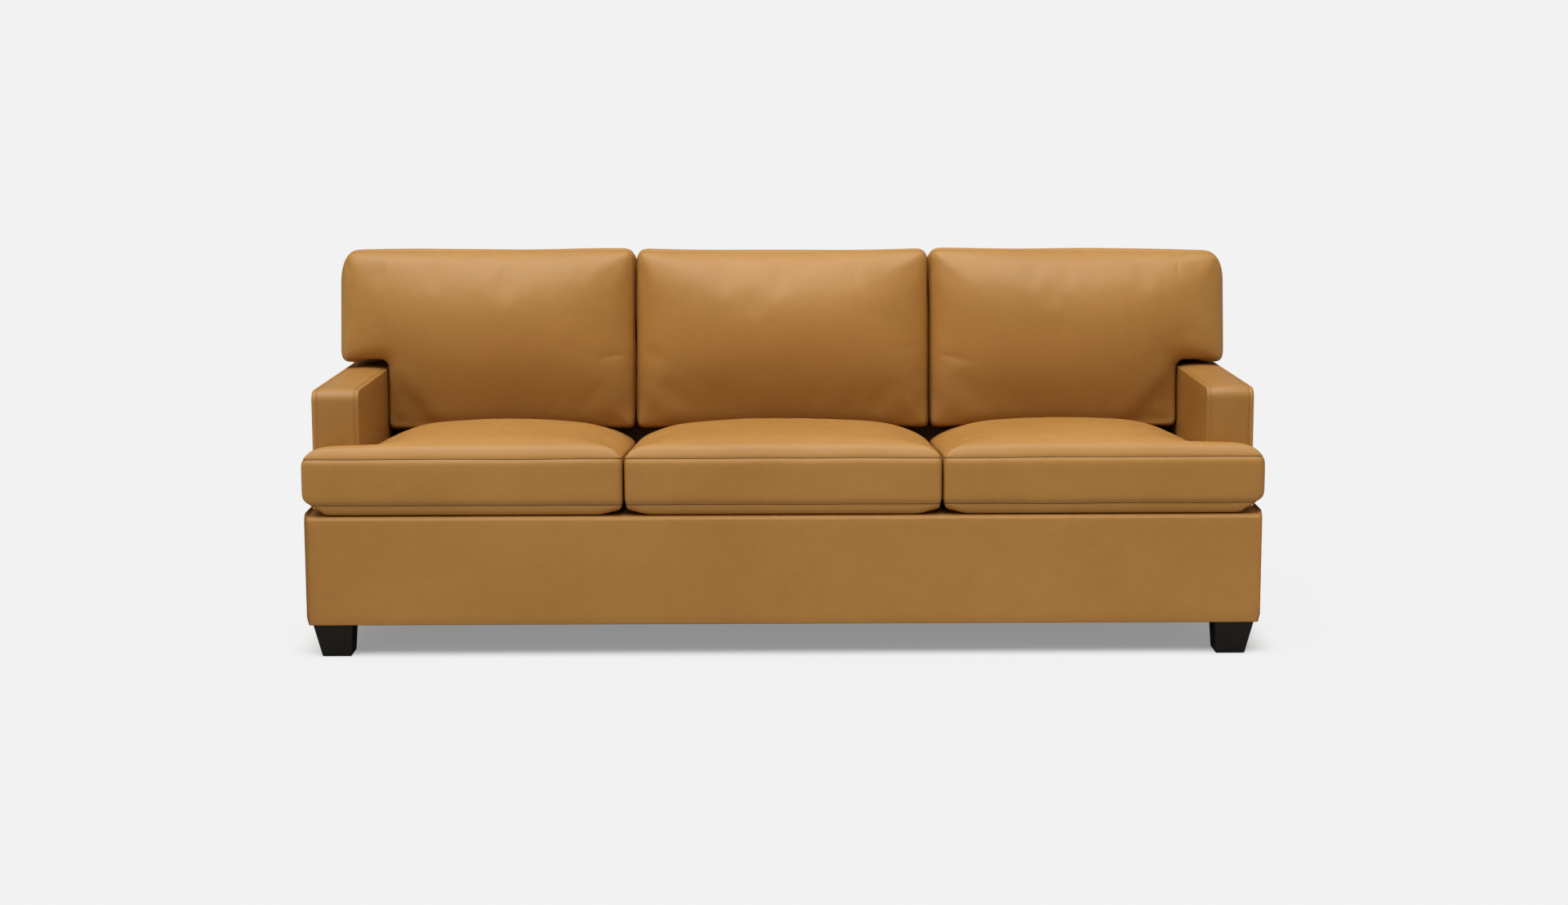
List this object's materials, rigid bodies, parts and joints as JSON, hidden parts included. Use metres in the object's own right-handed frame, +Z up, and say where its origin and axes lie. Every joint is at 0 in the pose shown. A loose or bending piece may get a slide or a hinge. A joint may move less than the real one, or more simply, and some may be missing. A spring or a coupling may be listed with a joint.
{
  "type": "sofa",
  "caption": "Leather sofa with loose seat and back cushions, low narrow track arms, a plain apron and black wooden block legs.",
  "frame": {"origin": "on the floor, under the middle of the sofa's bounding box", "axes": "+X to the right as seen from the front, along the sofa; the front faces -Y; +Z up"},
  "size_m": [2.196, 0.92, 0.8887],
  "materials": {
    "leather": "smooth caramel leather, soft satin",
    "black_wood": "black satin lacquer on hardwood",
    "frame_wood": "planed softwood and plywood, unfinished",
    "fibreboard": "raw hardboard",
    "spring_steel": "bright spring wire",
    "zinc_steel": "zinc plated",
    "deck_felt": "grey needled felt",
    "dust_cloth": "black non-woven cloth",
    "foam": "cream polyurethane foam in polyester wrap"
  },
  "bodies": {
    "frame": {"apron_cover": "leather", "arm_board_left": "fibreboard", "arm_board_right": "fibreboard", "arm_cover_left": "leather", "arm_cover_right": "leather", "arm_front_post_left": "frame_wood", "arm_front_post_right": "frame_wood", "arm_rear_post_left": "frame_wood", "arm_rear_post_right": "frame_wood", "arm_top_rail_left": "frame_wood", "arm_top_rail_right": "frame_wood", "back_board": "fibreboard", "back_top_rail": "frame_wood", "back_upright_inner_left": "frame_wood", "back_upright_inner_right": "frame_wood", "back_upright_outer_left": "frame_wood", "back_upright_outer_right": "frame_wood", "corner_block_front_left": "frame_wood", "corner_block_front_right": "frame_wood", "corner_block_rear_left": "frame_wood", "corner_block_rear_right": "frame_wood", "deck_pad": "deck_felt", "dust_cover": "dust_cloth", "front_rail": "frame_wood", "inside_back_cover": "leather", "leg_bolt_front_left": "zinc_steel", "leg_bolt_front_right": "zinc_steel", "leg_bolt_rear_left": "zinc_steel", "leg_bolt_rear_right": "zinc_steel", "leg_front_left": "black_wood", "leg_front_right": "black_wood", "leg_rear_left": "black_wood", "leg_rear_right": "black_wood", "outside_back_panel": "leather", "rear_rail": "frame_wood", "rear_spring_rail": "frame_wood", "seat_springs_centre": "spring_steel", "seat_springs_left": "spring_steel", "seat_springs_right": "spring_steel", "side_panel_left": "leather", "side_panel_right": "leather", "side_rail_left": "frame_wood", "side_rail_right": "frame_wood", "spring_clip_front": "zinc_steel", "spring_clip_rear": "zinc_steel", "stretcher_left": "frame_wood", "stretcher_right": "frame_wood"},
    "seat_cushion_left": {"seat_cover_left": "leather", "seat_core_left": "foam"},
    "seat_cushion_centre": {"seat_cover_centre": "leather", "seat_core_centre": "foam"},
    "seat_cushion_right": {"seat_cover_right": "leather", "seat_core_right": "foam"},
    "back_cushion_left": {"back_cover_left": "leather", "back_core_left": "foam"},
    "back_cushion_centre": {"back_cover_centre": "leather", "back_core_centre": "foam"},
    "back_cushion_right": {"back_cover_right": "leather", "back_core_right": "foam"}
  },
  "joints": [
    {"name": "seat_cushion_left_slide", "type": "slide", "parent": "frame", "child": "seat_cushion_left", "axis": [0, -1, 0], "range_m": [0, 0.74]},
    {"name": "seat_cushion_centre_slide", "type": "slide", "parent": "frame", "child": "seat_cushion_centre", "axis": [0, -1, 0], "range_m": [0, 0.74]},
    {"name": "seat_cushion_right_slide", "type": "slide", "parent": "frame", "child": "seat_cushion_right", "axis": [0, -1, 0], "range_m": [0, 0.74]},
    {"name": "back_cushion_left_lift", "type": "slide", "parent": "frame", "child": "back_cushion_left", "axis": [0, 0, 1], "range_m": [0, 0.45]},
    {"name": "back_cushion_centre_lift", "type": "slide", "parent": "frame", "child": "back_cushion_centre", "axis": [0, 0, 1], "range_m": [0, 0.45]},
    {"name": "back_cushion_right_lift", "type": "slide", "parent": "frame", "child": "back_cushion_right", "axis": [0, 0, 1], "range_m": [0, 0.45]}
  ]
}
